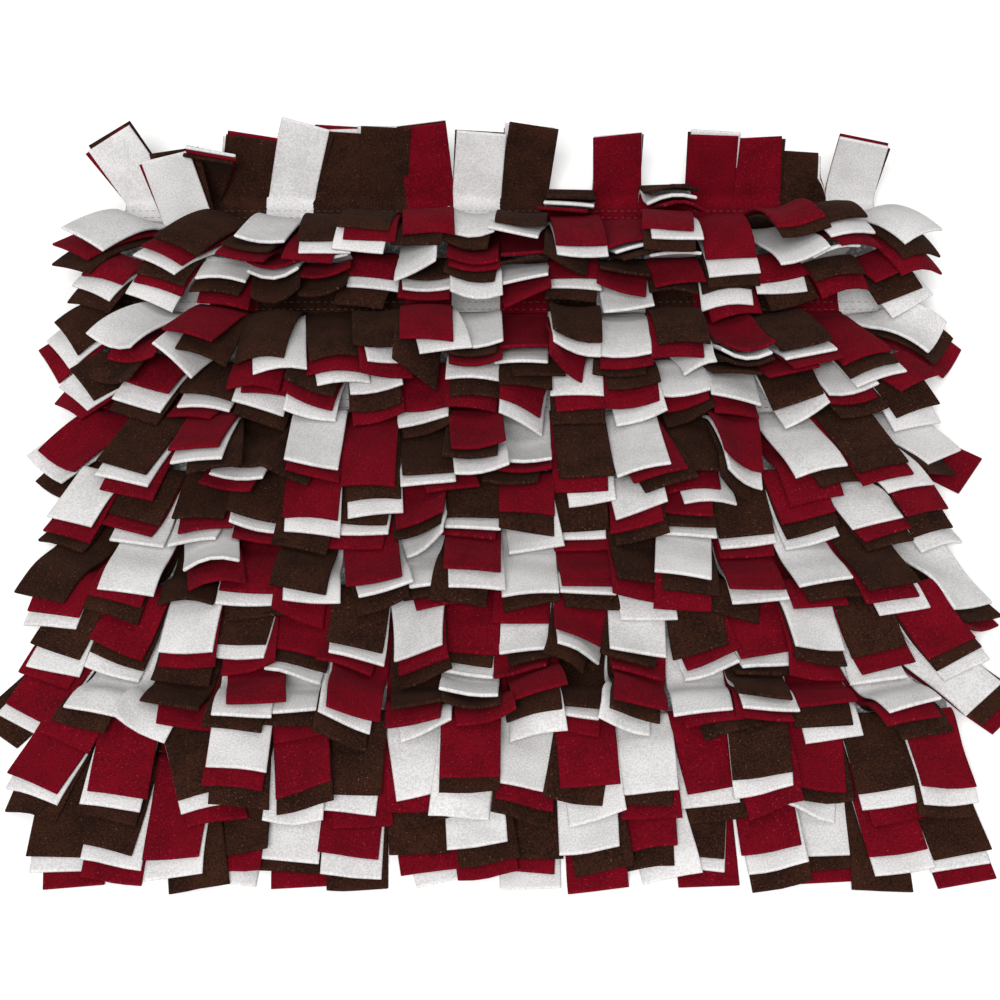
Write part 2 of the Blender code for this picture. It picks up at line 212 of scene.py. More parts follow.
print("camera and light")
view = {
    "elevation": 50,
    "distance": 1.30,
    "focal": 2400,  # in pixels of a 1000 pixel wide picture
    "pictureWidth": 1000,
    "sensor": 36,  # mm
    "aim": (0.0, -0.044, 0.02),
}
camera = bpy.data.cameras.new("camera")
camera.sensor_width = view["sensor"]
camera.lens = view["focal"] / view["pictureWidth"] * camera.sensor_width
cameraObject = bpy.data.objects.new("camera", camera)
bpy.context.scene.collection.objects.link(cameraObject)
tilt = math.radians(view["elevation"])
cameraObject.location = Vector(view["aim"]) + view["distance"] * Vector((0, -math.cos(tilt), math.sin(tilt)))
cameraObject.rotation_euler = (math.pi / 2 - tilt, 0, 0)
bpy.context.scene.camera = cameraObject
bpy.context.scene.view_settings.view_transform = "Standard"

studio = {
    "sky": 0.47,
    "lamps": [  # name, place, size, watts
        ("softboxFront", (-0.8, -4.8, 5.5), 3.0, 584),
        ("softboxTop", (0.35, 0.35, 1.9), 1.2, 5),
    ],
}
world = bpy.data.worlds.new("studio")
world.use_nodes = True
background = world.node_tree.nodes["Background"].inputs
background["Color"].default_value = linear("#FFFFFF")
background["Strength"].default_value = studio["sky"]
bpy.context.scene.world = world
for name, place, size, watts in studio["lamps"]:
    lamp = bpy.data.lights.new(name, "AREA")
    lamp.size = size
    lamp.energy = watts
    lampObject = bpy.data.objects.new(name, lamp)
    lampObject.location = place
    lampObject.rotation_euler = (-Vector(place)).to_track_quat("-Z", "Y").to_euler()
    bpy.context.scene.collection.objects.link(lampObject)

# Matt background paper: it only has to be pale and even, with the faintest tooth.
paperLook = {
    "half": 4,  # from the middle of the sheet to its edge
    "colour": "#F7F7F6",
    "teethPerMm": 0.9,
    "relief": (0.03, 0.0002),
    "surface": {"Roughness": 0.95},
}
paper, tree = newMaterial("background_paper")
place = addNode(tree, "ShaderNodeTexCoord").outputs["Object"]
teeth = {"Vector": place, "Scale": 1000 * paperLook["teethPerMm"], "Detail": 2.0}
tooth = addNode(tree, "ShaderNodeTexNoise", teeth).outputs["Fac"]
finishMaterial(tree, linear(paperLook["colour"]), tooth, paperLook)

floorMesh = bpy.data.meshes.new("studio_floor")
far = paperLook["half"]
floorMesh.from_pydata([(-far, -far, 0), (far, -far, 0), (far, far, 0), (-far, far, 0)], [], [(0, 1, 2, 3)])
floorMesh.materials.append(paper)
floor = bpy.data.objects.new("studio_floor", floorMesh)
bpy.context.scene.collection.objects.link(floor)


print("materials")
fleeceLook = {
    "pileWidth": 0.0010,  # the brushed pile lies in tufts of about 1 mm, their tops painted lighter and the hollows between them painted darker
    "fibreWidth": 0.0004,
    "patchWidth": 0.016,  # brushed a little darker and lighter in patches
    "patchShare": 0.30,
    "shadeAndPatchRange": (0.40, 0.58),  # of the noise, from the painted shade to the painted light colour
    "lintWidth": 0.0009,
    "lintRange": (0.70, 0.76),  # of the noise, from no lint to the most
    "lintMost": 0.85,
    "fibreShare": 0.4,  # of the relief
    "relief": (0.5, 0.0005),
    "surface": {
        "Roughness": 0.95,
        "Specular IOR Level": 0.09,
        "Sheen Weight": 0.07,
        "Sheen Roughness": 0.5,
    },
}
fleeceColours = {  # painted shade and painted light of the pile, and lint
    "white_fleece": ("#B7B5B4", "#CDCBCA", "#E2E1E0"),
    "red_fleece": ("#4C010C", "#670213", "#A32A3E"),
    "brown_fleece": ("#190B07", "#311A10", "#664838"),
}


# Polar fleece: polyester knitted, then brushed and sheared, so it is matt and slightly pilled, its light is
# scattered by standing fibres at its edges, and short lint shows as paler specks.
# Its colour carries painted light and shade: the pile's tufts, which the relief raises, are painted towards a
# lit colour and the hollows between them towards a shaded one.
def makeFleece(name, shaded, lit, lint):
    material, tree = newMaterial(name)
    place = addNode(tree, "ShaderNodeAttribute", attribute_name="clothPlace").outputs["Vector"]
    noises = {}
    for part, width, detail in (
        ("pile", fleeceLook["pileWidth"], 3.0),
        ("patch", fleeceLook["patchWidth"], 2.0),
        ("lint", fleeceLook["lintWidth"], 1.0),
        ("fibre", fleeceLook["fibreWidth"], 2.0),
    ):
        noise = addNode(tree, "ShaderNodeTexNoise", {"Vector": place, "Scale": 1 / width, "Detail": detail})
        noises[part] = noise.outputs["Fac"]
    # painted light and shade: the pile noise that raises the tufts in the relief also paints their tops
    # towards the lit colour and their hollows towards the shaded one; the patches add random tone
    mixed = addNode(
        tree,
        "ShaderNodeMix",
        {0: fleeceLook["patchShare"], 2: noises["pile"], 3: noises["patch"]},
        data_type="FLOAT",
    )
    first, last = fleeceLook["shadeAndPatchRange"]
    shadeAndPatchTone = addNode(
        tree,
        "ShaderNodeMapRange",
        {"Value": mixed.outputs[0], "From Min": first, "From Max": last},
    )
    coloured = addNode(
        tree,
        "ShaderNodeMix",
        {0: shadeAndPatchTone.outputs["Result"], 6: linear(shaded), 7: linear(lit)},
        data_type="RGBA",
    )
    first, last = fleeceLook["lintRange"]
    lintMask = addNode(
        tree,
        "ShaderNodeMapRange",
        {"Value": noises["lint"], "From Min": first, "From Max": last, "To Max": fleeceLook["lintMost"]},
    )
    linted = addNode(
        tree,
        "ShaderNodeMix",
        {0: lintMask.outputs["Result"], 6: coloured.outputs[2], 7: linear(lint)},
        data_type="RGBA",
    )
    height = addNode(
        tree,
        "ShaderNodeMath",
        {0: noises["fibre"], 1: fleeceLook["fibreShare"], 2: noises["pile"]},
        operation="MULTIPLY_ADD",
    )
    sheen = {"Sheen Tint": linear(lint)}
    finishMaterial(tree, linted.outputs[2], height.outputs["Value"], fleeceLook, sheen)
    return material


fleeces = {name: makeFleece(name, *colours) for name, colours in fleeceColours.items()}

# Polyester base cloth with a slip-proof finish: a grey knit, speckled where the finish lies on it.
baseLook = {
    "loopsPerMm": 0.9,
    "beadsPerMm": 0.42,
    "beadColours": [(0.25, "#D3D6D4"), (0.55, "#8D9290")],  # from the middle of a bead outwards
    "relief": (0.5, 0.0004),
    "surface": {"Roughness": 0.85},
}
baseCloth, tree = newMaterial("anti_slip_cloth")
place = addNode(tree, "ShaderNodeTexCoord").outputs["Object"]
loops = {"Vector": place, "Scale": 1000 * baseLook["loopsPerMm"], "Detail": 2.0}
knit = addNode(tree, "ShaderNodeTexNoise", loops).outputs["Fac"]
beads = addNode(tree, "ShaderNodeTexVoronoi", {"Vector": place, "Scale": 1000 * baseLook["beadsPerMm"]})
ramp = addNode(tree, "ShaderNodeValToRGB", {"Fac": beads.outputs["Distance"]})
for stop, (position, colour) in zip(ramp.color_ramp.elements, baseLook["beadColours"]):
    stop.position = position
    stop.color = linear(colour)
finishMaterial(tree, ramp.outputs["Color"], knit, baseLook)


print("cloth rules")
cloth = {
    "step": 0.0031,  # between the sections of a ply that settles
    "columns": 7,  # points across it
    "rounds": 4,  # of bending, then drawing its length in along its slope
    "passes": 90,  # of the search for a ply's resting heights
    "hold": 1500.0,  # how firmly each pass holds a ply to where the last one left it
    "leastSteps": 6,
    "mostRise": 0.93,  # a ply rises by at most this share of its length,
    "mostRoll": 0.8,  # and by this share of its width across
    "leastLevel": 0.5,  # a steep ply is lifted off what lies below it by no more than this allows
    "probes": 5,  # heights looked up each way in every cell of a ply
    "turnLength": 0.016,  # over which a tab turns aside after its seam or fold,
    "tightTurn": 0.019,  # and at least this much for each radian of its turn
    "leadStep": 0.0031,
    "bend": 0.009,  # radius in which a bundle rises from its seam
    "turnClear": 0.006,  # a standing tab turns from here on,
    "swayClear": 0.016,  # and sways fully from here on
    "foldSteps": 9,
    "reachSteps": 2,
    "reachClimb": 10,  # degrees at which a back half lies back before its fold
    "foldTurnsFrom": 0.4,  # share of the fold after which it turns aside
    "steepest": 0.7,  # a ply doesn't climb over what stands higher than this slope from its start
    "ceiling": 0.062,  # and rises no higher than this unless what lies below it does
    "leanOut": 0.0018,  # neighbours' edges may press into each other this far
    "loadStep": 0.8,  # each ply below is pressed down this much more
}
# Shares of a row's curl: the most along a tab, across it, its twist, and what each ply adds of its own.
curlShares = {"most": 0.7, "across": 1.6, "twist": 0.12, "ownAlong": 0.25, "ownAcross": 0.3}
fanPower = 2  # the turn outwards grows this steeply towards the sides, and keeps its sign
heightGrid = {"cell": 0.0006, "half": 0.40, "sampling": 0.7}  # surfaces are sampled this often in a cell


class HeightMap:
    # the height of whatever lies on top at each place, in a square of small cells

    def __init__(self):
        count = int(2 * heightGrid["half"] / heightGrid["cell"])
        self.top = np.zeros((count, count))
        low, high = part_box("base_fabric")
        a, b = self.cell(np.array([low[0], high[0]])), self.cell(np.array([low[1], high[1]]))
        self.top[a[0] : a[1] + 1, b[0] : b[1] + 1] = high[2]

    def cell(self, value):
        return ((value + heightGrid["half"]) / heightGrid["cell"]).astype(int)

    def at(self, x, y):
        return self.top[self.cell(x), self.cell(y)]

    def raiseTo(self, grid):
        # grid holds rows of points of an upper surface
        pitch = heightGrid["sampling"] * heightGrid["cell"]
        long = np.linalg.norm(grid[1:] - grid[:-1], axis=2).max()
        wide = np.linalg.norm(grid[:, 1:] - grid[:, :-1], axis=2).max()
        along = np.linspace(0, 1, 2 + int(long / pitch))[None, None, :, None, None]
        across = np.linspace(0, 1, 2 + int(wide / pitch))[None, None, None, :, None]
        a, b = grid[:-1, :-1, None, None], grid[:-1, 1:, None, None]
        c, d = grid[1:, :-1, None, None], grid[1:, 1:, None, None]
        points = (a * (1 - across) + b * across) * (1 - along) + (c * (1 - across) + d * across) * along
        points = points.reshape(-1, 3)
        np.maximum.at(self.top, (self.cell(points[:, 0]), self.cell(points[:, 1])), points[:, 2])


def differences(count, order):
    # a matrix that takes first or second differences of a row of values
    made = np.eye(count)
    for _ in range(order):
        made = made[1:] - made[:-1]
    return made


class Bending:
    # how a strip with so many free rows bends: two fixed rows come before them

    def __init__(self, count, stiff):
        rows, columns = count + 2, cloth["columns"]
        ds, dw = cloth["step"], strips["width"] / (columns - 1)
        along = np.kron(differences(rows, 2), np.eye(columns)) / ds**2
        across = np.kron(np.eye(rows), differences(columns, 2)) / dw**2
        twist = np.kron(differences(rows, 1), differences(columns, 1)) / (ds * dw) * math.sqrt(2)
        every = np.vstack([along, across, twist])
        self.sizes = [len(along), len(across), len(twist)]
        fixed = 2 * columns
        free = every[:, fixed:]
        self.toCurl = stiff**3 * free.T
        self.toFixed = self.toCurl @ every[:, :fixed]
        full = self.toCurl @ free
        self.inverse = np.linalg.inv(full + cloth["hold"] * np.eye(len(full)))


bendings = {}  # one for each count of free rows and stiffness


def settle(fixed, floorHeights, bending, curls, weight):
    # the resting heights of the free rows, over what lies below them
    natural = np.repeat([curls[0], curls[1], curls[2] * math.sqrt(2)], bending.sizes)
    push = bending.toCurl @ natural - weight - bending.toFixed @ fixed.ravel()
    below = floorHeights.ravel()
    highest = np.maximum(below, cloth["ceiling"])
    z, lag = below.copy(), np.zeros(len(below))
    hold = cloth["hold"]
    for _ in range(cloth["passes"]):
        bent = bending.inverse @ (hold * (z - lag) + push)
        z = np.clip(bent + lag, below, highest)
        lag = lag + bent - z
    return z.reshape(-1, cloth["columns"])


def plyThick(distance):
    share = np.minimum(1.0, np.maximum(0.0, distance) / strips["swell"])
    seamPly = seams["thick"] / 3
    return seamPly + (strips["thick"] - seamPly) * share


def heading(yaw):
    return Vector((math.sin(yaw), -math.cos(yaw), 0)), Vector((math.cos(yaw), math.sin(yaw), 0))


def columnX(column):
    return (column - (seams["columns"] - 1) / 2) * seams["columnPitch"]


def rowY(row):
    return (row - (seams["rows"] - 1) / 2) * seams["rowPitch"]


class Half:
    # what chance and its place give one half of a bundle, drawn as in the solid model

    def __init__(self, row, column, fromBack, dice):
        lay = rowLay[row]
        outward = columnX(column) / columnX(seams["columns"] - 1)
        fan = lay["fan"] * outward * abs(outward) ** fanPower
        over = 1 if column % 2 else -1
        slopeError = over * layChances["stagger"] + dice.gauss(0, layChances["rise"])
        yaw = fan + lay["drift"] + dice.gauss(0, layChances["yaw"])
        length = strips["back"] if fromBack else lay["front"]
        self.length = length + dice.uniform(-1, 1) * layChances["length"]
        spread = over * layChances["foldStagger"] + dice.uniform(-1, 1) * layChances["foldSpread"]
        self.foldRadius = lay["fold"] + spread
        self.reach = lay["reach"]
        self.leave = math.radians(lay["leave"] + slopeError)
        self.rise = math.radians(max(0, lay["rise"] + slopeError))
        self.sway, self.bow = 0.0, 0.0
        self.tipStep, self.stiff, self.curl, self.arch = rowCloth[row].values()
        self.fromBack = fromBack
        self.stands = None
        if row == seams["rows"] - 1:
            self.stands = (standing if fromBack else standingFront).get(column)
        self.folds = fromBack and not self.stands
        if self.stands:
            yaw = -self.stands["turn"] if fromBack else self.stands["turn"]
            self.rise = math.radians(self.stands["lean"])
            self.length = self.stands["length"]
            self.sway = math.radians(self.stands["sway"])
            self.bow = self.stands["bow"]
        self.own = askew.get((row + 1, "back" if fromBack else "front", column), {})
        self.length = self.own.get("length", self.length)
        self.foldRadius = self.own.get("fold", self.foldRadius)
        self.yaw = math.radians(self.own.get("turn", yaw))
        y = rowY(row) + (seams["depth"] if fromBack else -seams["depth"]) / 2
        self.start = Vector((columnX(column), y, seams["low"] + seams["thick"] / 2))

    def drawCurls(self, dice):
        self.along, self.across, self.twist = [dice.gauss(0, 1) * self.curl for _ in range(3)]
        most = curlShares["most"] * self.curl
        self.along = self.own.get("along", min(most, max(-most, self.along)) - self.arch)
        self.across = self.own.get("across", self.across * curlShares["across"])
        self.twist *= curlShares["twist"]

    def plyCurls(self, dice):
        # each ply is curled a little differently from its bundle
        along = self.along + dice.gauss(0, curlShares["ownAlong"]) * self.curl
        return along, self.across + dice.gauss(0, curlShares["ownAcross"]) * self.curl, self.twist

    def lead(self, extra=0.0, ownSway=0.0):
        # the middle of the bundle where its shape is given: place, direction, sideways and distance
        return self.foldedLead() if self.folds else self.risingLead(extra, ownSway)

    def foldedLead(self):
        # lies back from its seam, then folds over towards the front
        angle, place, path = math.radians(cloth["reachClimb"]), self.start.copy(), []
        away = Vector((0, math.cos(angle), math.sin(angle)))
        reachStep = self.reach / cloth["reachSteps"]
        for i in range(cloth["reachSteps"] if self.reach else 0):
            path.append((place.copy(), away, Vector((1, 0, 0)), i * reachStep))
            place += away * reachStep
        step = (math.pi - self.leave - angle) / cloth["foldSteps"]
        straight = cloth["foldTurnsFrom"]
        for i in range(cloth["foldSteps"] + 1):
            share = max(0.0, i / cloth["foldSteps"] - straight) / (1 - straight)
            forward, sideways = heading(self.yaw * share)
            along = Vector((0, 0, math.sin(angle))) - forward * math.cos(angle)
            path.append((place.copy(), along, sideways, self.reach + i * step * self.foldRadius))
            middle = angle + step / 2
            onwards = Vector((0, 0, math.sin(middle))) - forward * math.cos(middle)
            place += onwards * step * self.foldRadius
            angle += step
        return path

    def risingLead(self, extra, ownSway):
        # rises from its seam, and where it stands it is given up to its tip
        slope, distance, place, path = 0.0, 0.0, self.start.copy(), []
        end = self.length + extra if self.stands else cloth["bend"] * self.rise
        steps = round(end / cloth["leadStep"])
        step = end / max(1, steps)
        side = -1 if self.fromBack else 1
        for _ in range(steps + 1):
            turned = 0.0
            if self.stands:
                turned = self.yaw * min(1.0, max(0.0, (distance - cloth["turnClear"]) / cloth["turnLength"]))
            forward, sideways = heading(turned)
            forward, sideways = forward * side, sideways * side
            along = forward * math.cos(slope) + Vector((0, 0, math.sin(slope)))
            sway = (self.sway + ownSway) * min(1.0, distance / cloth["swayClear"]) * -side
            swayed = along * math.cos(sway) - sideways * math.sin(sway)
            sideways = sideways * math.cos(sway) + along * math.sin(sway)
            path.append((place.copy(), swayed, sideways, distance))
            place += swayed * step
            distance += step
            bowed = slope + step * self.bow
            slope = min(self.rise, slope + step / cloth["bend"]) if slope < self.rise else bowed
        return path


def nested(lead, offset):
    # one ply of a bundle's given part, offset from its middle by whole plies
    rows, thick = [], []
    spread = np.linspace(-0.5, 0.5, cloth["columns"]) * strips["width"]
    for middle, along, sideways, distance in lead:
        ply = float(plyThick(distance))
        normal = sideways.cross(along).normalized()
        pitch = ply + strips["plyGap"] * min(1, distance / strips["swell"])
        centre = middle - normal * offset * pitch
        rows.append([centre + sideways * s for s in spread])
        thick.append(ply)
    return np.array(rows), np.array(thick)


def heightsUnder(heights, middles, forward, sideways, ds, level, narrow):
    # the greatest height that lies under each cell of a ply
    looked = np.linspace(-0.5, 0.5, cloth["columns"]) * (strips["width"] - 2 * cloth["leanOut"])
    cell = np.linspace(-0.5, 0.5, cloth["probes"])
    offsets = looked[None, :, None, None] + cell[None, None, None, :] * (looked[1] - looked[0])
    wide = np.clip(offsets, looked[0], looked[-1]) * narrow[:, None, None, None]
    ahead = (cell[None, None, :, None] * ds) * level[:, None, None, None]
    x, y = [
        middles[:, axis, None, None, None]
        + forward[:, axis, None, None, None] * ahead
        + sideways[:, axis, None, None, None] * wide
        for axis in (0, 1)
    ]
    return heights.at(x, y).max(axis=(2, 3))


def layPly(heights, half, ply, dice):
    # ply 0 lies on top of its half, ply 2 at the bottom
    offset = 1 - ply
    if half.stands:
        ownSway = math.radians(dice.gauss(0, standingPlies["sway"]))
        extra = ply * standingPlies["tipStep"] + dice.uniform(-1, 1) * standingPlies["spread"]
        return nested(half.lead(extra, ownSway), offset)
    lead = half.lead()
    begun = lead[-1][3]
    rigid, thick = nested(lead, offset)
    length = half.length + strips["lowest"] - (2 - ply) * half.tipStep
    length += dice.uniform(-1, 1) * strips["tipSpread"]
    count = max(cloth["leastSteps"], round((length - begun) / cloth["step"]))
    key = (count, half.stiff)
    if key not in bendings:
        bendings[key] = Bending(count, half.stiff)
    ds = (length - begun) / count
    distance = begun + ds * np.arange(1, count + 1)
    ownYaw = half.yaw + math.radians(dice.gauss(0, strips["ownTurn"])) * (1 + strips["turnStep"] * ply)
    turnLength = max(cloth["turnLength"], cloth["tightTurn"] * abs(ownYaw))
    firstYaw = half.yaw if half.folds else 0.0
    yaw = firstYaw + (ownYaw - firstYaw) * np.clip((distance - begun) / turnLength, 0, 1)
    forward = np.stack([np.sin(yaw), -np.cos(yaw)], axis=1)
    sideways = np.stack([np.cos(yaw), np.sin(yaw)], axis=1)
    spread = np.linspace(-0.5, 0.5, cloth["columns"]) * strips["width"]
    slope = lead[-1][1].z
    last = rigid[-1]
    if last[0, 0] > last[-1, 0]:
        last = last[::-1]
        rigid = rigid[:, ::-1]
    fixed = np.stack([last[:, 2] - ds * slope, last[:, 2]])
    z = np.repeat(last[None, :, 2], count, axis=0)
    thickness = plyThick(distance)
    centre = last.mean(axis=0)[:2]
    climb = last[:, 2].mean() + cloth["steepest"] * ds * np.arange(1, count + 1)
    curls = half.plyCurls(dice)
    weight = 1.0 + cloth["loadStep"] * ply
    for _ in range(cloth["rounds"]):
        every = np.vstack([last[None, :, 2], z])
        rise = np.clip((every[1:] - every[:-1]).mean(axis=1) / ds, -cloth["mostRise"], cloth["mostRise"])
        level = np.sqrt(1 - rise**2)
        roll = np.clip((z[:, -1] - z[:, 0]) / strips["width"], -cloth["mostRoll"], cloth["mostRoll"])
        narrow = np.sqrt(1 - roll**2)
        middles = centre + np.cumsum(forward * (ds * level)[:, None], axis=0)
        under = heightsUnder(heights, middles, forward, sideways, ds, level, narrow)
        below = np.minimum(under, climb[:, None])
        lift = thickness[:, None] / 2 / np.maximum(level[:, None] * narrow[:, None], cloth["leastLevel"])
        z = settle(fixed, below + lift + strips["plyGap"], bendings[key], curls, weight)
    xy = middles[:, None, :] + sideways[:, None, :] * (spread[None, :, None] * narrow[:, None, None])
    free = np.concatenate([xy, z[:, :, None]], axis=2)
    skew = dice.uniform(-1, 1) * strips["skew"]
    direction = free[-1] - free[-2]
    direction /= np.linalg.norm(direction, axis=1)[:, None]
    free[-1] += direction * (spread * skew)[:, None]
    return np.concatenate([rigid, free]), np.concatenate([thick, thickness])


def surfaceNormals(grid):
    along = np.gradient(grid, axis=0)
    across = np.gradient(grid, axis=1)
    normal = np.cross(across, along)
    return normal / np.linalg.norm(normal, axis=2)[:, :, None]


def noteHeights(heights, grid, thick):
    normal = surfaceNormals(grid)
    offset = normal * thick[:, None, None] / 2
    heights.raiseTo(grid + offset)
    heights.raiseTo(grid - offset)


# Across a strip: places from edge to edge, and how much of its thickness it has there.
profile = {
    "places": np.array([-1, -0.984, -0.945, -0.89, -0.45, 0, 0.45, 0.89, 0.945, 0.984, 1]),
    "shares": np.array([0, 0.74, 1, 1, 1, 1, 1, 1, 1, 0.74, 0]),
    "ends": [0.0016, 0.0008, 0.00025],  # a cut tip is rounded over this length
    "endShares": [1.0, 1.0, 0.74],
}


def roundedEnds(grid, thick):
    # splits the last step at both tips so that they are rounded like the edges
    for _ in range(2):
        last, before = grid[-1], grid[-2]
        length = np.linalg.norm(last - before, axis=1).mean()
        extra = [last + (before - last) * (d / length) for d in profile["ends"]]
        grid = np.concatenate([grid[:-1], extra, [last]])
        shares = np.array(profile["endShares"])
        thick = np.concatenate([thick[:-1], thick[-1] * shares, [0.0]])
        grid, thick = grid[::-1], thick[::-1]
    return grid, thick


def stripMesh(grid, thick, offset, out):
    # adds one closed strip to the lists of corners, faces and cloth places
    grid, thick = roundedEnds(grid, thick)
    columns = np.linspace(-1, 1, cloth["columns"])
    wide = np.stack(
        [
            np.stack([np.interp(profile["places"], columns, grid[r, :, axis]) for axis in range(3)], axis=1)
            for r in range(len(grid))
        ]
    )
    normal = surfaceNormals(wide)
    normal[0], normal[-1] = normal[1], normal[-2]
    lift = normal * (profile["shares"][None, :, None] * thick[:, None, None] / 2)
    upper, lower = wide + lift, wide - lift
    steps = np.linalg.norm(np.diff(wide[:, len(profile["places"]) // 2], axis=0), axis=1)
    along = np.concatenate([[0], np.cumsum(steps)])
    count = len(wide)
    many = len(profile["places"])
    verts, faces, places = out
    index = {}

    def corner(r, c, side):
        flat = c in (0, many - 1) or r in (0, count - 1)
        key = (r, c, 0 if flat else side)
        if key not in index:
            index[key] = len(verts)
            source = wide if flat else (upper if side > 0 else lower)
            verts.append(source[r, c])
            across = profile["places"][c] * strips["width"] / 2
            places.append((across, along[r], offset))
        return index[key]

    for r in range(count - 1):
        for c in range(many - 1):
            a = [corner(r, c, 1), corner(r, c + 1, 1), corner(r + 1, c + 1, 1), corner(r + 1, c, 1)]
            b = [corner(r, c, -1), corner(r + 1, c, -1), corner(r + 1, c + 1, -1), corner(r, c + 1, -1)]
            faces.append(a)
            faces.append(b)


def colourOrders():
    # each bundle's colours, the back half's top ply first; neighbours differ in their top plies
    dice = random.Random(strips["colourSeed"])
    every = list(itertools.permutations(range(3)))
    rows = []
    for _ in range(seams["rows"]):
        row = [dice.choice(every)]
        while len(row) < seams["columns"]:
            last = row[-1]
            row.append(dice.choice([o for o in every if o[0] != last[0] and o[-1] != last[-1]]))
        rows.append(row)
    letters = {name[0]: place for place, name in enumerate(fleeceColours)}
    for column, tab in standing.items():
        rows[-1][column] = tuple(letters[letter] for letter in reversed(tab["colours"]))
    for (row, side, column), tab in askew.items():
        if "colours" in tab:
            order = [letters[letter] for letter in tab["colours"]]
            rows[row - 1][column] = tuple(order if side == "back" else reversed(order))
    return rows


print("strips")
heights = HeightMap()
layDice = random.Random(strips["laySeed"])
plyDice = random.Random(strips["plySeed"])
orders = colourOrders()
colourNames = list(fleeces)
# chance is drawn for every second column first, as in the solid model
inTurn = list(range(0, seams["columns"], 2)) + list(range(1, seams["columns"], 2))
for row in range(seams["rows"]):
    halves = {}
    for fromBack in (False, True):
        for column in inTurn:
            halves[fromBack, column] = Half(row, column, fromBack, layDice)
    laid = {}
    for fromBack in (False, True):
        turns = list(range(seams["columns"]))
        plyDice.shuffle(turns)
        for column in turns:
            half = halves[fromBack, column]
            half.drawCurls(plyDice)
            for ply in (2, 1, 0):
                grid, thick = layPly(heights, half, ply, plyDice)
                noteHeights(heights, grid, thick)
                laid[fromBack, column, ply] = grid, thick
    pieces = [([], [], []) for _ in colourNames]
    lengths = [[] for _ in colourNames]
    for column in range(seams["columns"]):
        for place, colour in enumerate(orders[row][column]):
            front, frontThick = laid[False, column, 2 - place]
            stands = halves[True, column].stands
            back, backThick = laid[True, column, 2 - place if stands else place]
            if front[0, 0, 0] > front[0, -1, 0]:
                front = front[:, ::-1]
            if back[0, 0, 0] > back[0, -1, 0]:
                back = back[:, ::-1]
            grid = np.concatenate([front[::-1], back])
            thick = np.concatenate([frontThick[::-1], backThick])
            middle = grid[:, cloth["columns"] // 2]
            lengths[colour].append(np.linalg.norm(np.diff(middle, axis=0), axis=1).sum())
            stripMesh(grid, thick, plyDice.uniform(0, strips["patternSpan"]), pieces[colour])
    for colour, name in enumerate(colourNames):
        verts, faces, places = pieces[colour]
        pieceName = f"row_{row + 1}_{name}"
        mesh = bpy.data.meshes.new(pieceName)
        mesh.from_pydata([tuple(v) for v in verts], [], faces)
        where = mesh.attributes.new("clothPlace", "FLOAT_VECTOR", "POINT")
        where.data.foreach_set("vector", np.array(places, dtype=np.float32).ravel())
        mesh.materials.append(fleeces[name])
        bm = bmesh.new()
        bm.from_mesh(mesh)
        bmesh.ops.recalc_face_normals(bm, faces=bm.faces)
        bm.to_mesh(mesh)
        bm.free()
        mesh.polygons.foreach_set("use_smooth", [True] * len(mesh.polygons))
        piece = bpy.data.objects.new(pieceName, mesh)
        bpy.context.scene.collection.objects.link(piece)
        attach(piece, "root")
        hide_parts(f"strip_row_{row + 1}")
    print("row", row + 1, "top", round(float(heights.top.max()) * 1000, 1), "mm")


print("base cloth")
baseSheet = {
    "flat": (0.46, 0.43),  # as it is cut
    "cell": 0.012,
    "corner": 0.006,
    "cornerSteps": 4,
    "cornerAngle": 60,  # an upright edge that turns by more degrees than this is a corner
    "rim": 0.0005,
    "rimSteps": 2,
    "rimAngle": 80,  # and one that turns by more than this belongs to the rim
}
low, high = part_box("base_fabric")
width, depth, thick = high[0] - low[0], high[1] - low[1], high[2] - low[2]
bm = bmesh.new()
bmesh.ops.create_grid(
    bm,
    x_segments=round(width / baseSheet["cell"]),
    y_segments=round(depth / baseSheet["cell"]),
    size=0.5,
)
for vert in bm.verts:
    vert.co.x *= width
    vert.co.y *= depth
bmesh.ops.solidify(bm, geom=list(bm.faces), thickness=thick)
lowest = min(vert.co.z for vert in bm.verts)
for vert in bm.verts:
    vert.co.z -= lowest
bmesh.ops.recalc_face_normals(bm, faces=bm.faces)
upright = [edge for edge in bm.edges if abs(edge.verts[0].co.z - edge.verts[1].co.z) > thick / 2]
corners = [edge for edge in upright if edge.calc_face_angle() > math.radians(baseSheet["cornerAngle"])]
rounded = {"affect": "EDGES", "profile": 0.5}
bmesh.ops.bevel(bm, geom=corners, offset=baseSheet["corner"], segments=baseSheet["cornerSteps"], **rounded)
rim = [edge for edge in bm.edges if edge.calc_face_angle(0) > math.radians(baseSheet["rimAngle"])]
bmesh.ops.bevel(bm, geom=rim, offset=baseSheet["rim"], segments=baseSheet["rimSteps"], **rounded)
mesh = bpy.data.meshes.new("base_cloth_sheet")
bm.to_mesh(mesh)
bm.free()
mesh.materials.append(baseCloth)
base = bpy.data.objects.new("base_cloth_sheet", mesh)
bpy.context.scene.collection.objects.link(base)
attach(base, "root")
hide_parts("base_fabric")


print("stitches")
stitches = {
    "pitch": 0.0040,
    "length": 0.0031,
    "thread": 0.0005,
    "seamGap": 0.0030,  # the two lines of stitches lie this far in front of and behind the middle of a seam
    "edgeGap": 0.0045,  # from the base cloth's edge to the stitches of its finished edge
    "edgeTilt": 68,  # degrees that those stitches are turned across the edge
    "sunk": 0.25,  # share of the thread that lies in the base cloth,
    "sunkInPile": 0.70,  # and in the fleece
    "sides": 6,
    "rings": 4,
}
threadLook = {"turnsPerMm": 2.5, "relief": (0.3, 0.0001), "surface": {"Roughness": 0.45}}


